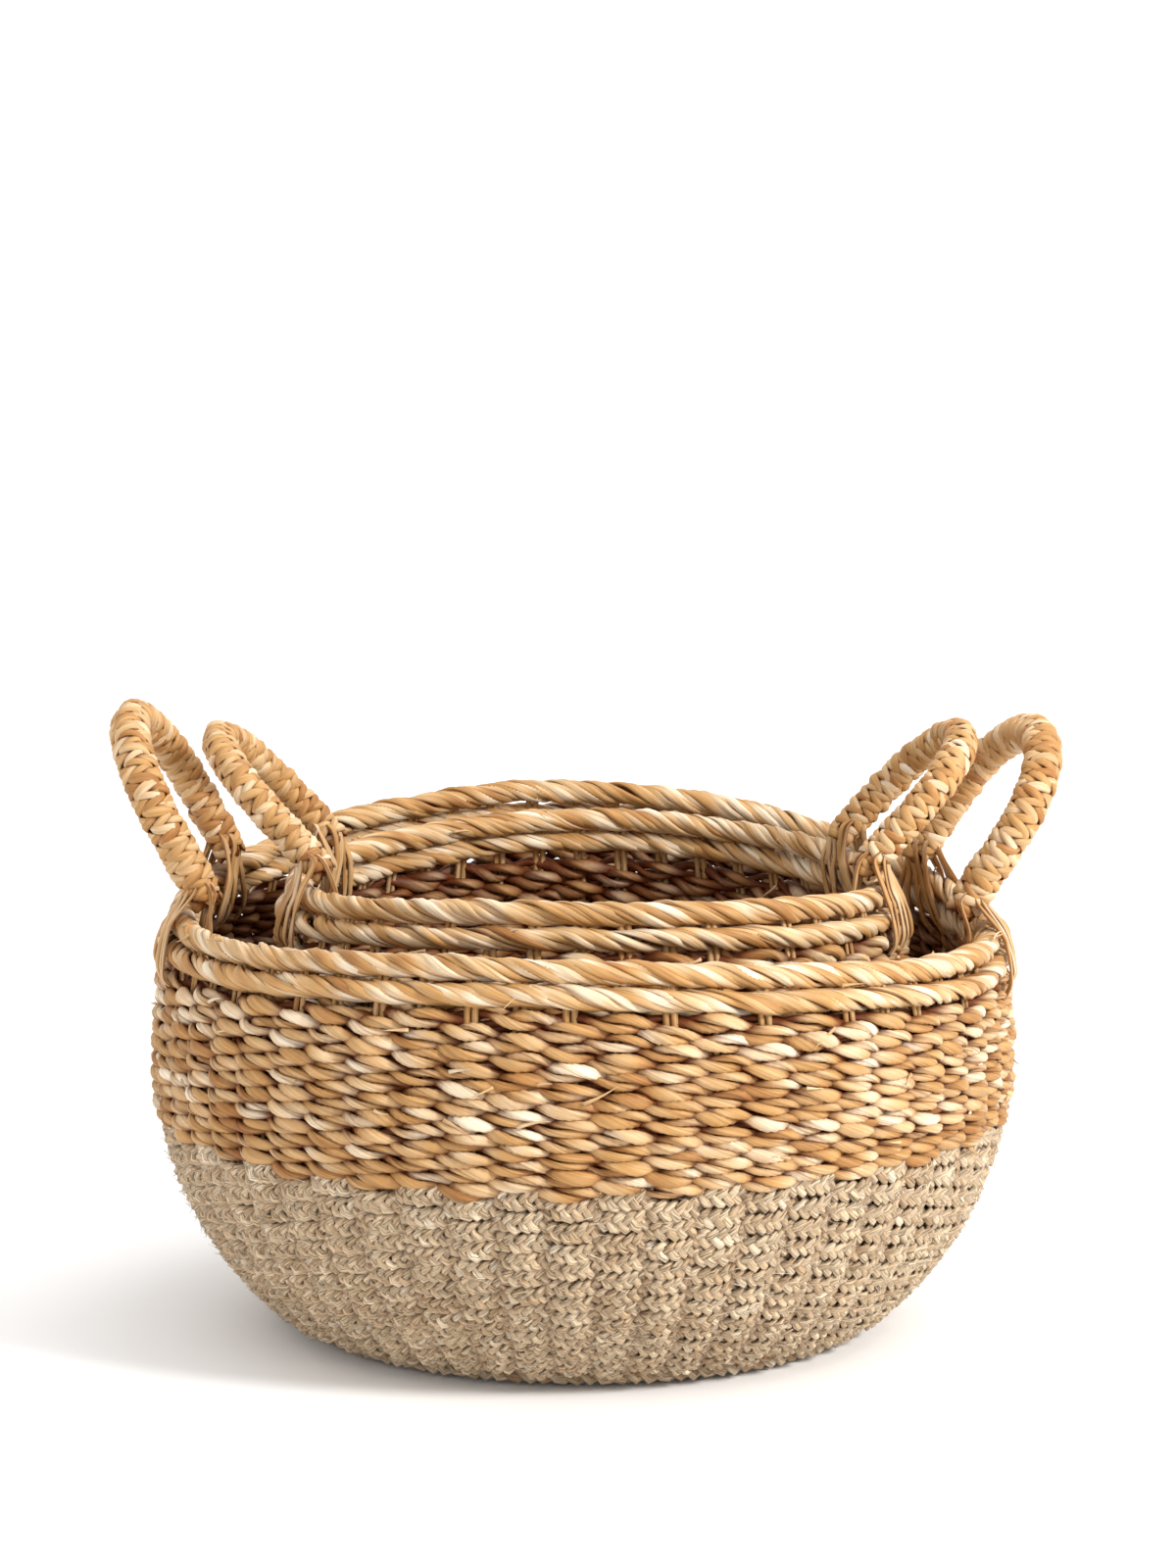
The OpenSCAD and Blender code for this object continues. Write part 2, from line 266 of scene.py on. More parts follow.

# %% [markdown]
# ## Laying a strand
#
# Every cord here is made of strands: long, flattish leaves or yarns that twist round each other.
# A strand is best drawn as a curve with a small oval for its section, because a curve takes a
# tilt and a radius at every point, so that the leaf can turn and swell as it goes. The curves are
# then made into a mesh, their open ends are closed, and each point of the mesh keeps three facts
# for the finish: its tint, its depth in the weave, which sets how much shade is painted on it, and
# where it lies in the leaf's own grain.

# %% Section of a strand
def section(name, wide, thin, sides=8, edge=0.0):
    """A closed oval, wide along X, for strands to be swept with; edge makes it a sharp lens."""
    data = bpy.data.curves.new(name, "CURVE")
    data.dimensions = "2D"
    spline = data.splines.new("POLY")
    spline.points.add(sides - 1)
    for i, point in enumerate(spline.points):
        a = i * math.tau / sides
        lens = abs(math.sin(a)) ** edge
        point.co = (wide * math.cos(a), thin * math.sin(a) * lens, 0.0, 1.0)
    spline.use_cyclic_u = True
    item = bpy.data.objects.new(name, data)
    item["sides"] = sides
    item["half"] = (wide, thin)
    return item


print("a leaf has", section.__defaults__[0], "sides unless it is told otherwise")

# %% Noise along a strand
dice = np.random.default_rng(7)


def drift(length, step, count, low=-1.0, high=1.0):
    """Random values that drift smoothly along a strand: a new one every step."""
    knots = dice.uniform(low, high, max(int(length / step) + 3, 3))
    at = np.linspace(0.0, length / step, count)
    i = at.astype(int)
    f = at - i
    f = f * f * (3 - 2 * f)
    return knots[i] * (1 - f) + knots[i + 1] * f


print("noise comes from one seeded", type(dice).__name__)

# %% Strands to one piece
def lay(name, strands, oval, depth_of, material, body, slot_name, edge_shade=0.0):
    """Sweeps the oval along strands of (points, wide direction, radius, tint) to make one mesh.

    depth_of says how far out of the weave points lie, which sets how much shade is painted on them;
    the last setting paints shade along the leaves' edges.
    """
    data = bpy.data.curves.new(name, "CURVE")
    data.dimensions = "3D"
    data.twist_mode = "Z_UP"
    data.bevel_mode = "OBJECT"
    data.bevel_object = oval
    tints, runs = [], []
    sides = oval["sides"]
    for points, wide, radius, tint in strands:
        along = np.gradient(points, axis=0)
        along /= np.linalg.norm(along, axis=1, keepdims=True)
        out = np.cross(along, UP)
        out /= np.maximum(np.linalg.norm(out, axis=1, keepdims=True), 1e-9)
        up = np.cross(out, along)
        tilt = np.unwrap(np.arctan2(-(wide * up).sum(1), (wide * out).sum(1)))
        spline = data.splines.new("POLY")
        count = len(points)
        spline.points.add(count - 1)
        spline.points.foreach_set("co", np.c_[points, np.ones(count)].ravel())
        spline.points.foreach_set("tilt", tilt)
        spline.points.foreach_set("radius", radius)
        spline.use_smooth = True
        tints.append(np.repeat(tint, sides))
        runs.append(np.repeat(run_of(points) + dice.uniform(0, 40), sides))
    draft = bpy.data.objects.new(name + "_draft", data)
    bpy.context.scene.collection.objects.link(draft)
    bpy.context.view_layer.update()
    graph = bpy.context.evaluated_depsgraph_get()
    mesh = bpy.data.meshes.new_from_object(draft.evaluated_get(graph))
    bpy.data.objects.remove(draft)
    mesh.name = name
    count = len(mesh.vertices)
    co = np.empty(count * 3)
    mesh.vertices.foreach_get("co", co)
    angle = np.tile(np.arange(sides) * math.tau / sides, count // sides)
    wide, thin = oval["half"]
    grain = np.c_[wide * np.cos(angle), thin * np.sin(angle), np.concatenate(runs)]
    keep(mesh, "tint", np.concatenate(tints))
    # Painted shade: the depth kept at each point is lowered towards the leaves' edges, so the
    # finish paints dark lines between leaves.
    leaf_edge = np.clip((np.abs(np.cos(angle)) - 0.6) / 0.4, 0.0, 1.0) ** 2
    depth = np.clip(depth_of(co.reshape(-1, 3)), 0.0, 1.0)
    keep(mesh, "depth", depth * (1 - edge_shade * leaf_edge))
    mesh.attributes.new("grain", "FLOAT_VECTOR", "POINT").data.foreach_set("vector", grain.ravel())
    close_ends(mesh)
    mesh.materials.clear()
    mesh.materials.append(material)
    piece = bpy.data.objects.new(name, mesh)
    bpy.context.scene.collection.objects.link(piece)
    if body:
        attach(piece, body)
    return piece


def run_of(points):
    """Distance along a strand of each of its points."""
    return np.r_[0.0, np.cumsum(np.linalg.norm(np.diff(points, axis=0), axis=1))]


def keep(mesh, name, values):
    """Stores one number at every point of a mesh."""
    data = mesh.attributes.new(name, "FLOAT", "POINT").data
    data.foreach_set("value", values.astype(np.float32))


def close_ends(mesh):
    """Fills the open end of every strand and turns all faces outwards."""
    bm = bmesh.new()
    bm.from_mesh(mesh)
    bmesh.ops.holes_fill(bm, edges=[e for e in bm.edges if e.is_boundary], sides=0)
    bmesh.ops.recalc_face_normals(bm, faces=bm.faces)
    for face in bm.faces:
        face.smooth = True
    bm.to_mesh(mesh)
    bm.free()


print("a finish can read tint, depth and grain at every point of a piece")

# %% [markdown]
# ## Straw, seagrass and jute finishes
#
# Dry seagrass is a leaf: satin, with fine lines along its length, and no two leaves the same
# straw, gold or rusty brown. Jute is a bundle of dull hairs, paler and pinker. Both finishes are
# built the same way: the tint kept on the mesh picks a colour from a ramp, lines stretched along
# the grain darken and lighten it, and the depth in the weave turns it to a deep brown: that is
# painted shade, put where the weave shades itself and along the leaves' edges. A bump from the
# same lines raises the leaf's veins.

# %% A finish for leaf and yarn
def straw(name, colours, deep, vein, rough, bump, sheen=0.0, shade_span=(0.08, 0.6), blotches=0.2,
          specular=0.25):
    """A finish whose colours are a ramp of tints, with fine lines of (across, along, strength).

    The depth at a point gives the deep colour, which is painted shade, below shade_span and the
    clean one above it.
    """
    material = bpy.data.materials.new(name)
    material.use_nodes = True
    nodes, links = material.node_tree.nodes, material.node_tree.links
    shader = nodes["Principled BSDF"]

    tint = nodes.new("ShaderNodeAttribute")
    tint.attribute_name = "tint"
    ramp = nodes.new("ShaderNodeValToRGB")
    while len(ramp.color_ramp.elements) < len(colours):
        ramp.color_ramp.elements.new(0.5)
    for i, colour in enumerate(colours):
        ramp.color_ramp.elements[i].position = i / (len(colours) - 1)
        ramp.color_ramp.elements[i].color = (*colour, 1.0)

    grain = nodes.new("ShaderNodeAttribute")
    grain.attribute_name = "grain"
    stretch = nodes.new("ShaderNodeMapping")
    stretch.inputs["Scale"].default_value = (vein[0], vein[0], vein[1])
    lines = nodes.new("ShaderNodeTexNoise")
    lines.inputs["Scale"].default_value = 1.0
    lines.inputs["Detail"].default_value = 4.0
    lines.inputs["Roughness"].default_value = 0.65
    links.new(grain.outputs["Vector"], stretch.inputs["Vector"])
    links.new(stretch.outputs["Vector"], lines.inputs["Vector"])

    blotch_place = nodes.new("ShaderNodeMapping")
    blotch_place.inputs["Scale"].default_value = (60.0, 60.0, 38.0)
    blotch = nodes.new("ShaderNodeTexNoise")
    blotch.inputs["Scale"].default_value = 1.0
    blotch.inputs["Detail"].default_value = 2.0
    links.new(grain.outputs["Vector"], blotch_place.inputs["Vector"])
    links.new(blotch_place.outputs["Vector"], blotch.inputs["Vector"])
    shift = nodes.new("ShaderNodeMapRange")
    shift.inputs["From Min"].default_value = 0.3
    shift.inputs["From Max"].default_value = 0.7
    shift.inputs["To Min"].default_value = -blotches
    shift.inputs["To Max"].default_value = blotches
    links.new(blotch.outputs["Fac"], shift.inputs["Value"])
    pick = nodes.new("ShaderNodeMath")
    pick.operation = "ADD"
    pick.use_clamp = True
    links.new(tint.outputs["Fac"], pick.inputs[0])
    links.new(shift.outputs["Result"], pick.inputs[1])
    links.new(pick.outputs["Value"], ramp.inputs["Fac"])

    streak = nodes.new("ShaderNodeMapRange")
    streak.inputs["From Min"].default_value = 0.32
    streak.inputs["From Max"].default_value = 0.68
    streak.inputs["To Min"].default_value = 1.0 - vein[2]
    streak.inputs["To Max"].default_value = 1.0 + vein[2] * 0.5
    links.new(lines.outputs["Fac"], streak.inputs["Value"])
    lined = nodes.new("ShaderNodeVectorMath")
    lined.operation = "SCALE"
    links.new(ramp.outputs["Color"], lined.inputs[0])
    links.new(streak.outputs["Result"], lined.inputs["Scale"])

    # Painted shade: below shade_span the depth kept on the mesh mixes the deep colour into the
    # leaf's own colour.
    depth = nodes.new("ShaderNodeAttribute")
    depth.attribute_name = "depth"
    near = nodes.new("ShaderNodeMapRange")
    near.interpolation_type = "SMOOTHSTEP"
    near.inputs["From Min"].default_value = shade_span[0]
    near.inputs["From Max"].default_value = shade_span[1]
    links.new(depth.outputs["Fac"], near.inputs["Value"])
    shade = nodes.new("ShaderNodeMix")
    shade.data_type = "RGBA"
    shade.inputs["A"].default_value = (*deep, 1.0)
    links.new(near.outputs["Result"], shade.inputs["Factor"])
    links.new(lined.outputs["Vector"], shade.inputs["B"])
    links.new(shade.outputs["Result"], shader.inputs["Base Color"])

    gloss = nodes.new("ShaderNodeMapRange")
    gloss.inputs["To Min"].default_value = rough - 0.12
    gloss.inputs["To Max"].default_value = rough + 0.15
    links.new(lines.outputs["Fac"], gloss.inputs["Value"])
    links.new(gloss.outputs["Result"], shader.inputs["Roughness"])
    raised = nodes.new("ShaderNodeBump")
    raised.inputs["Strength"].default_value = bump
    raised.inputs["Distance"].default_value = 0.0006
    links.new(lines.outputs["Fac"], raised.inputs["Height"])
    links.new(raised.outputs["Normal"], shader.inputs["Normal"])
    shader.inputs["Specular IOR Level"].default_value = specular
    shader.inputs["Sheen Weight"].default_value = sheen
    shader.inputs["Sheen Roughness"].default_value = 0.5
    return material


print("a finish has", straw.__code__.co_argcount, "settings")

# %% The finishes
RUST, GOLD, STRAW = (0.36, 0.155, 0.045), (0.51, 0.28, 0.10), (0.64, 0.42, 0.22)
CREAM = (0.84, 0.70, 0.52)
# The deep browns below are painted shade, mixed in where the weave lies deep and along the leaves'
# edges.
DEEP = (0.12, 0.026, 0.004)
YARN = [(0.30, 0.17, 0.08), (0.52, 0.36, 0.21), (0.70, 0.54, 0.36), (0.94, 0.83, 0.66)]
YARN_DEEP = (0.16, 0.07, 0.026)
seagrass = straw("seagrass_leaf", [RUST, GOLD, STRAW, CREAM], DEEP, vein=(750.0, 26.0, 0.36),
                 rough=0.48, bump=0.6)
handle_leaf = straw("handle_leaf", [RUST, GOLD, STRAW, CREAM], DEEP, vein=(800.0, 30.0, 0.30),
                    rough=0.48, bump=0.55)
jute = straw("jute_yarn", YARN, YARN_DEEP, vein=(1500.0, 75.0, 0.85), rough=0.85, bump=1.0,
             sheen=0.15, shade_span=(-0.25, 0.5), blotches=0.14, specular=0.2)
stake_leaf = straw("stake_leaf", [RUST, GOLD, STRAW], DEEP, vein=(900.0, 20.0, 0.35), rough=0.6,
                   bump=0.5)
print("finishes:", [m.name for m in (seagrass, handle_leaf, jute, stake_leaf)])

# %% [markdown]
# ## The weave
#
# A weaver works one long cord round and round. With an odd number of stakes, each turn passes
# outside the stakes that the last one passed inside, so the bumps of neighbouring turns fall
# between each other like scales. The same is done here: the cord's middle follows a spiral, and a
# cosine with half as many waves as there are stakes takes it out and in. Strands twist round that
# middle. A spiral keeps the odd number honest, where closed rings could not.

# %% Path of a woven cord
START = 0.035             # angle by which the first jute turn is above the foot of the wall
ROOM = 3 * MM             # between the last seagrass turn and the rope above it


def course(form, weave, turns, first, last, swing, per_stake=8):
    """Middle of the cord: points, outward, up, angle of its wave, and room between the turns."""
    count = int(round((last - first) * form.stakes * per_stake)) + 1
    q = np.linspace(first, last, count)
    turn = q * math.tau
    share = np.clip(q / turns, 0.0, 1.0)
    if weave == "jute":
        pitch = 0.8 + 0.4 * share
        share = share * (0.8 + 0.2 * share)
        low = form.foot_angle + START
        z = form.belly_h + form.low_r * np.sin(low + (form.jute_angle - low) * share)
    else:
        bottom = form.belly_h + form.low_r * math.sin(form.jute_angle)
        top = form.rim(turn) - ROPE - COLLAR - 2 * RIM_GAP - ROOM
        usual = form.rim_h - ROPE - COLLAR - 4 * MM - bottom
        pitch = (0.86 + 0.28 * share) * (top - bottom) / usual
        share = share * (0.86 + 0.14 * share)
        z = bottom + (top - bottom) * share
    z = z + drift(count * 1.0, per_stake * 1.7, count, -0.8, 0.8) * MM
    radial, outward, up = form.directions(turn, z)
    below = 0 if weave == "jute" else form.jute_turns
    beat = form.stakes * turn / 2 + math.pi * below
    bend = np.cos(beat) * swing * (1 + drift(count * 1.0, per_stake * 2.3, count, -0.12, 0.12))
    base = radial * form.radius(z, 0.0)[:, None] + UP * z[:, None]
    points = base + outward * bend[:, None] + np.array(form.middle)
    return points, outward, up, beat, pitch


print("a turn of the large basket swings out", large.stakes / 2, "times")

# %% [markdown]
# ## Seagrass cord
#
# The upper cord is two leaves twisted together. They make one twist for every bump, with a little
# slack, so that both leaves show side by side where the cord bows out, with a slanting line
# between them. Each leaf swells and thins as it goes.

# %% Seagrass: two leaves twisted together
seagrass_oval = section("seagrass_oval", 3.7 * MM, 2.7 * MM, edge=0.3)
SEAGRASS_SWING = 3.9 * MM
LEAF_OUT, LEAF_UP = 2.4 * MM, 2.7 * MM


def seagrass_strands(form, turns, first, last):
    """The two strands of a stretch of cord, further apart where the turns lie further apart."""
    points, outward, up, beat, pitch = course(form, "seagrass", turns, first, last, SEAGRASS_SWING)
    length, count = run_of(points)[-1], len(points)
    twist = math.pi / 2 - beat + drift(length, 0.05, count, -0.8, 0.8)
    for k in range(2):
        phase = twist + math.pi * k + drift(length, 0.024, count, -0.35, 0.35)
        loose = 1 + drift(length, 0.02, count, -0.15, 0.22)
        out = outward * (np.cos(phase) * LEAF_OUT * loose)[:, None]
        offset = out + up * (np.sin(phase) * LEAF_UP * pitch)[:, None]
        lean = phase + drift(length, 0.02, count, -0.35, 0.35)
        wide = up * np.cos(lean)[:, None] - outward * np.sin(lean)[:, None]
        swell = 0.70 + 0.2 * np.abs(np.cos(beat)) + 0.1 * pitch
        swell = swell * (1 + drift(length, 0.018, count, -0.34, 0.2))
        tint = 0.5 + drift(length, 0.021, count, -0.4, 0.4)
        tint = tint + drift(length, 0.5, count, -0.15, 0.15)
        yield points + offset, wide, swell, tint


print("leaves lie", round(2 * LEAF_UP / MM, 1), "mm apart in a bump")


# %% A band of cord
CLEAR = 9.5 * MM          # distance from the wall's middle at which a strand is out of the shade


def band_depth(form, co):
    """How far out of the weave points lie, from 0 to 1, for painted shade; the inside of a wall
    gets half its depth, so more shade is painted on it.
    """
    gap = form.depth(co) / CLEAR
    return np.where(gap > 0, gap, -0.5 * gap)


def weave_band(form, weave, turns, stretch, strands_of, oval, material, slot_name, edge_shade=0.0):
    """Lays all turns of one weave, a few turns to a piece, and hides the CAD band."""
    pieces, first = [], 0
    while first < turns:
        last = min(first + stretch, turns)
        name = form.name + "_" + weave + "_courses_" + str(len(pieces) + 1)
        strands = list(strands_of(form, turns, first, last))
        pieces.append(lay(name, strands, oval, lambda co: band_depth(form, co), material,
                          form.body, slot_name, edge_shade))
        first = last
    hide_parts(form.name + "_" + weave + "_band")
    faces = sum(len(p.data.polygons) for p in pieces)
    print(form.name, weave, "pieces:", len(pieces), "faces:", faces)


SEAGRASS_TURNS = 20
for form, stretch in ((large, 4), (small, 5)):
    weave_band(form, "seagrass", SEAGRASS_TURNS, stretch, seagrass_strands, seagrass_oval,
               seagrass, "seagrass_cord", edge_shade=0.5)

# %% [markdown]
# ## Jute braid
#
# The lower cord is a flat braid of three jute yarns, which is why each bump shows a row of small
# chevrons. In a braid, each yarn swings from side to side and dips under the others twice as
# often, a third of a beat apart from its neighbours.

# %% Jute: three yarns braided
jute_oval = section("jute_oval", 2.1 * MM, 1.6 * MM, 5)
JUTE_SWING = 3.0 * MM
BRAID_LENGTH = 15.5 * MM  # from where a yarn is at one edge to where it comes back to it
YARN_SIDEWAYS, YARN_DIP, BULGE = 3.6 * MM, 1.7 * MM, 0.5 * MM


def jute_strands(form, turns, first, last):
    """The three yarns of a stretch of jute braid, drawn flatter where the turns lie closer."""
    points, outward, up, beat, pitch = course(form, "jute", turns, first, last, JUTE_SWING,
                                           per_stake=12)
    run = run_of(points)
    length, count = run[-1], len(points)
    braid = math.tau * run / BRAID_LENGTH + drift(length, 0.04, count, -0.8, 0.8)
    for k in range(3):
        phase = braid + math.tau * k / 3 + drift(length, 0.015, count, -0.3, 0.3)
        out = outward * (np.sin(2 * phase) * YARN_DIP + BULGE * np.cos(beat))[:, None]
        offset = up * (np.sin(phase) * YARN_SIDEWAYS * pitch)[:, None] + out
        swell = (0.5 + 0.5 * pitch) * (1 + drift(length, 0.01, count, -0.2, 0.16))
        tint = 0.5 + drift(length, 0.012, count, -0.16, 0.2)
        tint = tint + drift(length, 0.4, count, -0.1, 0.1)
        yield points + offset, up, swell, tint


for form, stretch in ((large, 3), (small, 4)):
    weave_band(form, "jute", form.jute_turns, stretch, jute_strands, jute_oval, jute, "jute_cord")

# %% [markdown]
# ## Stakes
#
# The stakes show as pairs of thin strips in the gaps between the bumps. Two narrow strips a
# stake, each one short curve up the middle of the wall, are enough.

# %% Stakes
stake_oval = section("stake_oval", 1.7 * MM, 0.9 * MM, 4)
STRIP_APART = 2.1 * MM    # from the stake's middle to the middle of each of its two strips


def stakes(form):
    """Two strips for every stake, from the base to the rope."""
    strands = []
    count = 24
    for i in range(form.stakes):
        turn = i * math.tau / form.stakes
        for side in (-1, 1):
            at = turn + side * STRIP_APART / form.belly_r
            top = float(form.rim(turn)) - ROPE * 0.6
            z = np.linspace(8 * MM, top, count)
            r = form.radius(z, 0.0) + drift(24.0, 5.0, count, -0.6, 0.6) * MM
            points = np.c_[r * math.cos(at), r * math.sin(at), z] + np.array(form.middle)
            along = np.tile((-math.sin(turn), math.cos(turn), 0.0), (count, 1))
            tint = 0.5 + drift(24.0, 4.0, count, -0.3, 0.4)
            strands.append((points, along, np.ones(count), tint))
    piece = lay(form.name + "_stake_strips", strands, stake_oval,
                lambda co: np.full(len(co), 0.6), stake_leaf, form.body, "stake_strips")
    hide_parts(form.name + "_stakes")
    return piece


for form in (large, small):
    print(stakes(form).name, "laid")

# %% [markdown]
# ## Ropes of the rim
#
# The top of the wall is finished with two ropes. The lower one is waled: its three strands pass
# outside the stakes and inside them in turn, so from each side it is a row of slanting leaves.
# The upper one is a plain twisted rope that sits on the ends of the stakes.

# %% Ring ropes
rope_oval = section("rope_oval", 2.6 * MM, 1.6 * MM, 6, edge=0.3)


def wrapped(length, step, count, reach):
    """Drifting values for a ring, which come back at its end to where they began."""
    values = drift(length, step, count, -reach, reach)
    ease = np.clip((np.arange(count) / (count - 1) - 0.97) / 0.03, 0.0, 1.0)
    return values * (1 - ease) + values[0] * ease


def ring_rope(form, name, cad_node, drop, out, thick_out, thick_up, twist):
    """A rope of three strands of three leaves each round the rim, drop below its top."""
    count = 600
    turn = np.linspace(0.0, math.tau, count)
    length = math.tau * float(form.mouth)
    z = form.rim(turn) - drop + wrapped(length, 0.05, count, 0.7 * MM)
    radial, outward, up = form.directions(turn, z)
    centre = radial * (form.radius(z, 0.0) + out)[:, None] + UP * z[:, None]
    centre = centre + np.array(form.middle)
    strands = []
    beats = round(length / twist)
    for k in range(3):
        ply = -turn * beats + math.tau * k / 3 + wrapped(length, 0.04, count, 0.4)
        for leaf in (-1, 0, 1):
            phase = ply + 0.66 * leaf + wrapped(length, 0.024, count, 0.24)
            lift = np.maximum(wrapped(length, 0.02, count, 1.0) - 0.62, 0.0) * 4.0 * MM
            loose = 0.92 + 0.12 * (leaf == 0) + wrapped(length, 0.022, count, 0.16)
            offset = outward * (np.cos(phase) * (thick_out * loose + lift))[:, None]
            offset = offset + up * (np.sin(phase) * (thick_up * loose + lift * 0.5))[:, None]
            lean = phase + wrapped(length, 0.02, count, 0.4)
            wide = up * np.cos(lean)[:, None] - outward * np.sin(lean)[:, None]
            swell = 1 + wrapped(length, 0.022, count, 0.3)
            tint = 0.55 + wrapped(length, 0.02, count, 0.45)
            strands.append((centre + offset, wide, swell, tint))

    # Painted shade: leaves close to the rope's middle are painted darker.
    def depth_of(co):
        at = np.arctan2(co[:, 1] - form.middle.y, co[:, 0] - form.middle.x) % math.tau
        i = np.clip((at / math.tau * (count - 1)).astype(int), 0, count - 1)
        reach = max(thick_up, thick_out) + 1.6 * MM
        return np.linalg.norm(co - centre[i], axis=1) / reach - 0.06

    piece = lay(form.name + name, strands, rope_oval, depth_of, seagrass, form.body,
                "seagrass_rope", edge_shade=0.6)
    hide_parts(form.name + cad_node)
    return piece


for form in (large, small):
    top = ring_rope(form, "_rim_twist", "_rim_rope", drop=6.6 * MM, out=0.0,
                    thick_out=5.2 * MM, thick_up=4.5 * MM, twist=58 * MM)
    low = ring_rope(form, "_collar_twist", "_collar_rope", drop=19 * MM, out=0.5 * MM,
                    thick_out=7.0 * MM, thick_up=4.2 * MM, twist=64 * MM)
    print(top.name, low.name)

# %% [markdown]
# ## Loose ends
#
# Where a new leaf is worked in, its end stays a little proud of the weave, and jute is hairy all
# over. A few short tapered strands on the seagrass and the rim, and many hairs on the jute, take
# the machine-made look away. Each is one small strand that starts in the surface and curls out.

# %% Tails and hairs
tail_oval = section("tail_oval", 1.0 * MM, 0.5 * MM, 4)
hair_oval = section("hair_oval", 0.24 * MM, 0.24 * MM, 3)


def tails(form, name, oval, number, low, high, face, long, stand_out, material, slot_name):
    """Short strands that start at random places and curl away from one face of the wall."""
    strands = []
    count = 6
    t = np.linspace(0.0, 1.0, count)
    wide = np.ones((count, 3)) * UP
    for _ in range(number):
        turn = dice.uniform(0.0, math.tau)
        z = low + (high - low) * dice.uniform()
        if high > form.jute_h + 1 * MM:
            z = min(z, float(form.rim(turn)) - 1 * MM)
        reach = long * dice.uniform(0.5, 1.2)
        rise = dice.uniform(-0.7, 0.5)
        way = dice.choice((-1.0, 1.0))
        lift = stand_out * dice.uniform(0.3, 1.0)
        at = turn + way * reach * t / form.belly_r
        height = z + reach * rise * (t + dice.uniform(-0.9, 0.6) * t * t)
        height = np.maximum(height, 3 * MM)
        r = form.radius(height, 0.0) + face * (7.2 * MM + lift * t * t * (1.2 - 0.2 * t))
        points = np.c_[r * np.cos(at), r * np.sin(at), height] + np.array(form.middle)
        strands.append((points, wide, 1.1 - 0.95 * t, np.full(count, dice.uniform(0.45, 0.85))))
    return lay(form.name + name, strands, oval, lambda co: np.full(len(co), 0.9), material,
               form.body, slot_name)


for form, leaves, hairs in ((large, 70, 900), (small, 50, 160)):
    top = form.rim_h - 6 * MM
    a = tails(form, "_loose_leaves", tail_oval, leaves, form.jute_h, top, face=1, long=15 * MM,
              stand_out=4 * MM, material=seagrass, slot_name="seagrass_cord")
    b = tails(form, "_inside_leaves", tail_oval, leaves // 2, form.jute_h, top, face=-1,
              long=15 * MM, stand_out=4 * MM, material=seagrass, slot_name="seagrass_cord")
    c = tails(form, "_jute_hairs", hair_oval, hairs, 12 * MM, form.jute_h, face=1,
              long=11 * MM, stand_out=3.5 * MM, material=jute, slot_name="jute_cord")
    print(a.name, b.name, c.name)

# %% [markdown]
# ## Base
#
# The bottom is the same jute braid wound flat from the middle outwards. A spiral in the plane of
# the base gives it, with the yarns swinging level and dipping up and down.

# %% Base
base_oval = section("base_oval", 2.9 * MM, 2.6 * MM, 5)


def base(form):
    """A flat spiral of braid that fills the bottom."""
    edge = form.belly_r - form.base_in - 9 * MM
    start, pitch, level = 8 * MM, 9.2 * MM, 6.0 * MM
    turns = (edge - start) / pitch
    length = math.pi * (edge + start) * turns
    count = int(length / (3.2 * MM))
    run = np.linspace(0.0, length, count)
    r = np.sqrt(start ** 2 + run * pitch / math.pi)
    turn = math.tau * (r - start) / pitch
    radial = np.c_[np.cos(turn), np.sin(turn), np.zeros(count)]
    middle = radial * r[:, None] + UP * level + np.array(form.middle)
    strands = []
    for k in range(3):
        phase = math.tau * run / (22 * MM) + math.tau * k / 3
        offset = radial * (np.sin(phase) * 2.7 * MM)[:, None]
        offset = offset + UP * (np.sin(2 * phase) * 2.4 * MM)[:, None]
        tint = 0.45 + drift(length, 0.03, count, -0.3, 0.3)
        swell = 1 + drift(length, 0.04, count, -0.1, 0.1)
        strands.append((middle + offset, radial, swell, tint))
    height = form.middle.z + level
    # Painted shade: the yarns are painted darker near the braid's middle level, between its top and
    # bottom faces.
    piece = lay(form.name + "_base_braid", strands, base_oval,
                lambda co: np.abs(co[:, 2] - height) / (5.4 * MM), jute, form.body, "jute_cord")
    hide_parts(form.name + "_base")
    return piece


for form in (large, small):
    print(base(form).name, "laid")

# %% [markdown]
# ## Handles
#
# Each handle is a cane bent into a loop and covered with a round braid: two strands of two flat
# leaves wind one way and two the other, going over and under each other. The loop is laid out
# flat on the table first, where its path is easy to write: a leg, half a ring and a leg. Then it
# is stood up on its hinge line and leaned outwards, which is all a matrix.

# %% A loop, flat
def loop_path(half, tall, low, count):
    """A leg up, half a ring and a leg down in the XY plane, and which way is out of the loop."""
    leg = tall - half
    up_leg = leg - low
    total = 2 * up_leg + math.pi * half
    s = np.linspace(0.0, total, count)
    angle = np.clip((s - up_leg) / half, 0.0, math.pi)
    down_leg = np.where(s > total - up_leg, low + (total - s), leg + half * np.sin(angle))
    y = np.where(s < up_leg, low + s, down_leg)
    normal = np.c_[-np.cos(angle), np.sin(angle), np.zeros(count)]
    return np.c_[-half * np.cos(angle), y, np.zeros(count)], normal, s, total


print("a loop 100 mm wide and 88 mm tall is", round(loop_path(0.05, 0.088, 0.0, 9)[3], 3), "m long")

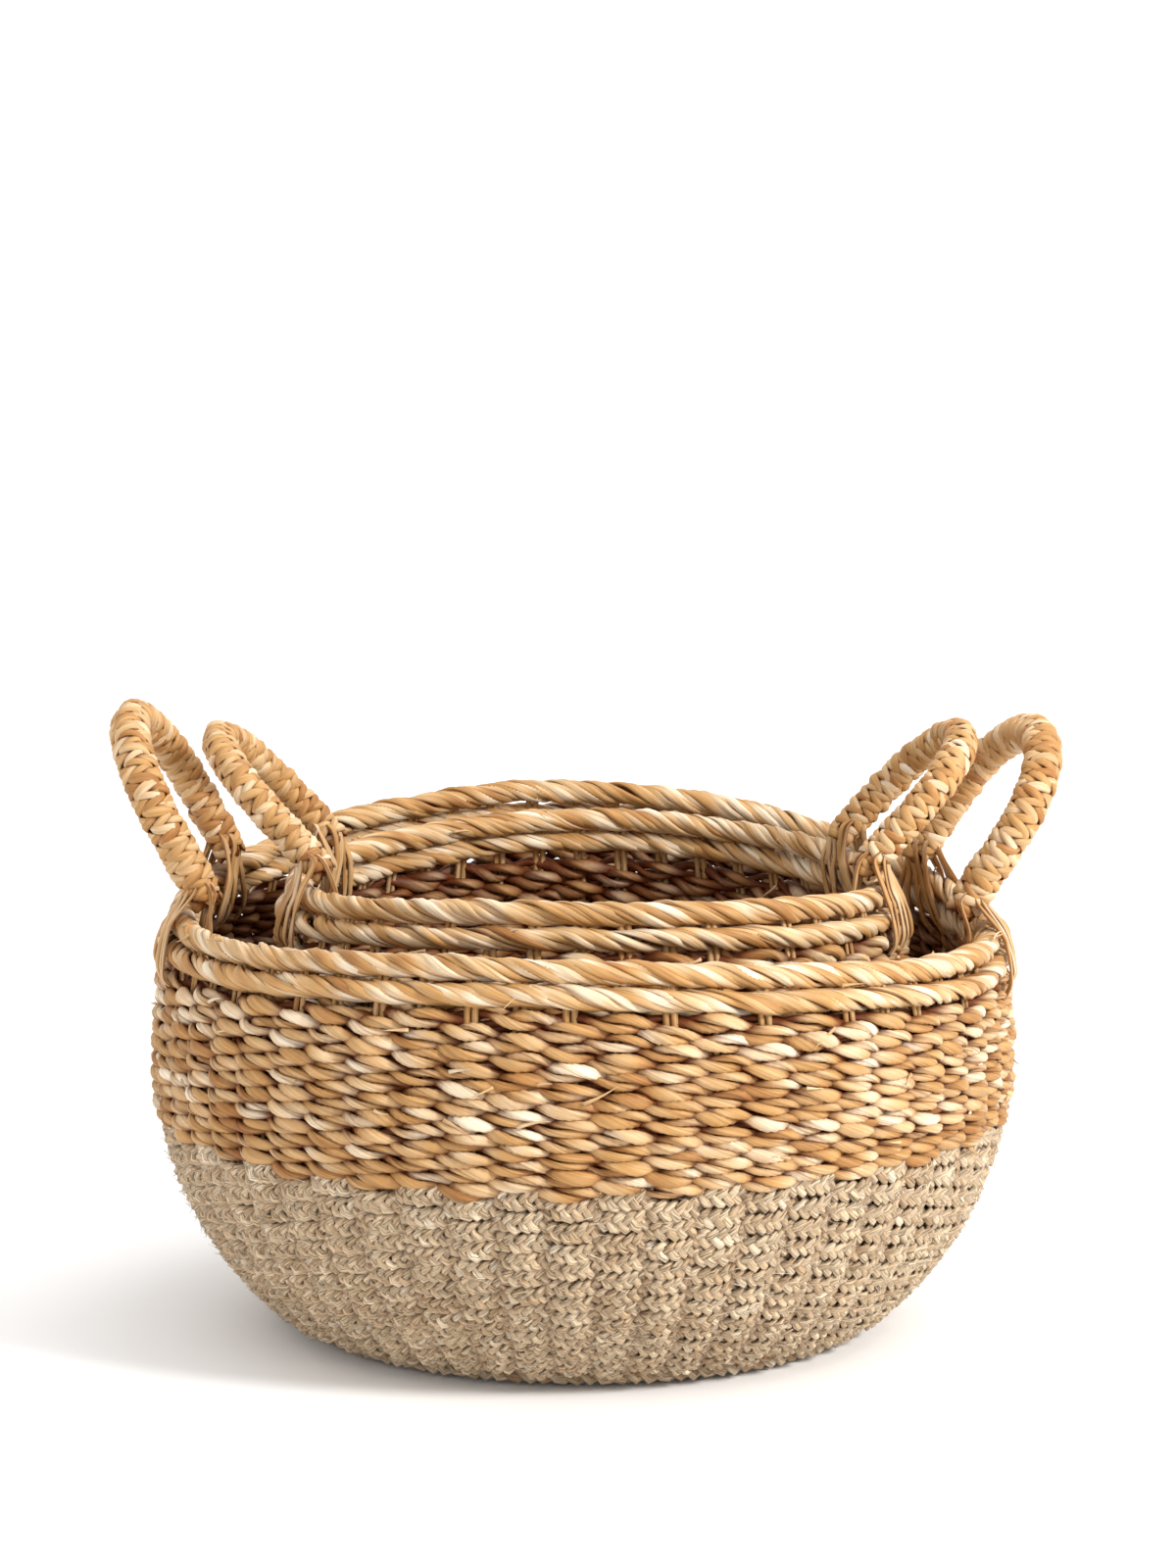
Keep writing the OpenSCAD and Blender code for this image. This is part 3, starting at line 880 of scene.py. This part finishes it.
# %% Stand a loop up on its hinge
def stand(joint, lean):
    """Matrix that takes the flat loop to its place: X along the feet, Y up the leaning loop."""
    along = Vector(joint["axis"]).normalized()
    level = Matrix.Rotation(math.atan2(-along.x, along.y), 4, "Z")
    tilted = level @ Matrix.Rotation(math.asin(along.z), 4, "X")
    spin = tilted @ Matrix.Rotation(lean, 4, "Y")
    out, side, up = spin @ Vector((1, 0, 0)), spin @ Vector((0, 1, 0)), spin @ Vector((0, 0, 1))
    turned = Matrix((side, up, out)).transposed().to_4x4()
    return Matrix.Translation(Vector(joint["pos_m"])) @ turned


# %% Round braid over the loop
leaf_oval = section("leaf_oval", 2.5 * MM, 1.5 * MM, edge=0.4)
WINDING = 16 * MM         # length of the loop for one turn of a leaf
OVER = 1.4 * MM           # how far a leaf rises to pass over another


def braid_loop(name, half, tall, thick, low):
    """The leaves of a round braid over a loop, still flat on the table."""
    count = 300
    path, normal, s, total = loop_path(half, tall, low, count)
    turns = round(total / WINDING * 2) / 2
    ends = np.minimum(s, total - s) / (16 * MM)
    taper = 0.74 + 0.26 * np.clip(ends, 0.0, 1.0) ** 0.7
    strands = []
    for way in (1, -1):
        for k in range(2):
            slack = drift(total, 0.02, count, -0.16, 0.16)
            wind = math.tau * turns * s / total + slack
            over = way * np.cos(2 * wind) * OVER
            for twin in (-1, 1):
                phase = way * wind + math.pi * k + twin * 0.74 + 0.5
                phase = phase + drift(total, 0.015, count, -0.2, 0.2)
                r = (thick / 2 - 2.5 * MM) * taper + over
                r = r + drift(total, 0.015, count, -0.4, 0.4) * MM
                face = normal * np.cos(phase)[:, None] + UP * np.sin(phase)[:, None]
                points = path + face * r[:, None]
                along = np.gradient(points, axis=0)
                wide = np.cross(face, along)
                wide /= np.linalg.norm(wide, axis=1, keepdims=True)
                swell = 1 + drift(total, 0.02, count, -0.25, 0.25)
                tint = 0.44 + drift(total, 0.02, count, -0.42, 0.42)
                strands.append((points, wide, swell, tint))
    return strands, path


def handle(form, side, lean, thick, tall, width):
    """One braided handle on its hinge."""
    body = {"outer": "large_", "inner": "small_"}[form.name] + side + "_handle"
    joint = next(j for j in frame["joints"] if j["child"] == body)
    level = math.cos(math.asin(joint["axis"][2]))
    half = width / 2 / level
    strands, path = braid_loop(body, half, tall, thick, -5 * MM)
    place = stand(joint, math.radians(lean))

    # Painted shade: leaves that lie close to the cane are painted darker.
    def depth_of(co):
        gap = np.full(len(co), 1.0)
        for start in range(0, len(co), 4000):
            part = co[start:start + 4000]
            away = np.sqrt(((part[:, None] - path[None, ::6]) ** 2).sum(2))
            gap[start:start + 4000] = away.min(1)
        return (gap - thick / 2 + 3.3 * MM) / (3.6 * MM)

    piece = lay(body + "_braid", strands, leaf_oval, depth_of, handle_leaf, None, "handle_wrap",
                edge_shade=0.65)
    piece.data.transform(place)
    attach(piece, body)
    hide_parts(form.name + "_" + side + "_handle_wrap")
    core = frame["nodes"][form.name + "_" + side + "_handle_core"]
    core.data.materials.clear()
    core.data.materials.append(stake_leaf)
    return piece, place, half


print("a leaf winds once round a handle in", round(WINDING / MM), "mm")

# %% The four handles: lean in degrees, thickness, height and width
loops = {}
for form, side, lean, thick, tall, width in (
    (large, "right", 33, 20 * MM, 88 * MM, 100 * MM),
    (large, "left", 28, 20 * MM, 88 * MM, 100 * MM),
    (small, "right", 43, 17.5 * MM, 78 * MM, 98 * MM),
    (small, "left", 43, 17.5 * MM, 78 * MM, 98 * MM),
):
    loops[form.name, side] = handle(form, side, lean, thick, tall, width)
    print(loops[form.name, side][0].name, "stands")

# %% [markdown]
# ## Lashings
#
# Flat strips tie each foot down: they leave the leg under its last winding, spread over both
# faces of the rim and tuck in below the lower rope. They are what bends when a handle leans; here
# each bundle is one piece, drawn from the foot of the standing handle down over the rim, and it is
# not attached to the basket or the handle.

# %% Lashings
strip_oval = section("strip_oval", 2.7 * MM, 1.1 * MM, edge=0.4)
# Down the wall: below the rim's top, out from the wall's middle, fan, share of the crossing, in mm.
FAN = ((2, 8.6, 10.0, 0.0), (10, 10.2, 13.0, 0.4), (19, 10.6, 15.5, 0.8), (27, 9.8, 17.0, 1.0),
       (33, 6.0, 17.5, 1.0))


def lashing(form, side, end):
    """The strips at one foot; end is -1 for the front foot and 1 for the back one."""
    _, place, half = loops[form.name, side]
    sign = end if side == "right" else -end
    foot = place @ Vector((sign * half, 0.0, 0.0))
    up_leg = (place @ Vector((sign * half, 1.0, 0.0)) - foot).normalized()
    flat = foot - form.middle
    turn = math.atan2(flat.y, flat.x)
    radial = Vector((math.cos(turn), math.sin(turn), 0.0))
    tangent = Vector((-math.sin(turn), math.cos(turn), 0.0))
    top = float(form.rim(turn))
    count = 34
    strands = []
    for face in (1, -1):
        for k in range(5):
            spread = (k - 2) / 2 + float(dice.uniform(-0.15, 0.15))
            cross = float(dice.uniform(-0.45, 0.45))
            round_leg = math.sqrt(max(1 - spread * spread * 0.8, 0.0))
            deep, broad = radial * (face * round_leg * MM), tangent * (spread * MM)
            knots = [foot + up_leg * (10 * MM) + deep * 4.5 + broad * 5,
                     foot + up_leg * (3 * MM) + deep * 7.5 + broad * 8]
            for drop, out, wander, swap in FAN:
                z = top - (drop + float(dice.uniform(-1.5, 1.5))) * MM
                at = turn + (spread + cross * swap) * wander * MM / form.mouth
                r = float(form.radius(z, face * (out + 0.35 * k - 0.7) * MM))
                knots.append(Vector((r * math.cos(at), r * math.sin(at), z)) + form.middle)
            knots = np.array([tuple(p) for p in knots])
            t = np.linspace(0, len(knots) - 1, count)
            points = np.c_[[smooth_between(knots[:, i], t) for i in range(3)]].T
            wide = np.tile(tuple(tangent), (count, 1))
            along = np.gradient(points, axis=0)
            along /= np.linalg.norm(along, axis=1, keepdims=True)
            wide = wide - along * (wide * along).sum(1)[:, None]
            wide /= np.linalg.norm(wide, axis=1, keepdims=True)
            tint = 0.48 + drift(34.0, 12.0, count, -0.3, 0.3)
            strands.append((points, wide, 1 + drift(34.0, 5.0, count, -0.35, 0.2), tint))
    which = "front" if end < 0 else "back"
    body = loops[form.name, side][0]["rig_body"]
    # Painted shade along the edges of the strips.
    piece = lay(form.name + "_" + side + "_" + which + "_strips", strands, strip_oval,
                lambda co: np.full(len(co), 0.6), handle_leaf, None, "lashing_strips",
                edge_shade=0.7)
    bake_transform(piece)
    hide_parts(form.name + "_" + side + "_" + which + "_lashing")
    return piece


def smooth_between(values, t):
    """A smooth line through values at 0, 1, 2, ..., read at t."""
    i = np.clip(t.astype(int), 0, len(values) - 2)
    f = t - i
    before, after = values[np.maximum(i - 1, 0)], values[np.minimum(i + 2, len(values) - 1)]
    a, b = values[i], values[i + 1]
    bend = 2 * before - 5 * a + 4 * b - after + f * (3 * (a - b) + after - before)
    return a + 0.5 * f * (b - before + f * bend)


for form in (large, small):
    for side in ("right", "left"):
        for end in (-1, 1):
            print(lashing(form, side, end).name)

# %% [markdown]
# ## Finish
#
# The last step prints the CAD box beside the box of the finished looks.

# %% Print the boxes and finish
visual_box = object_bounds()
print("visual box:", [[round(c, 3) for c in corner] for corner in visual_box])
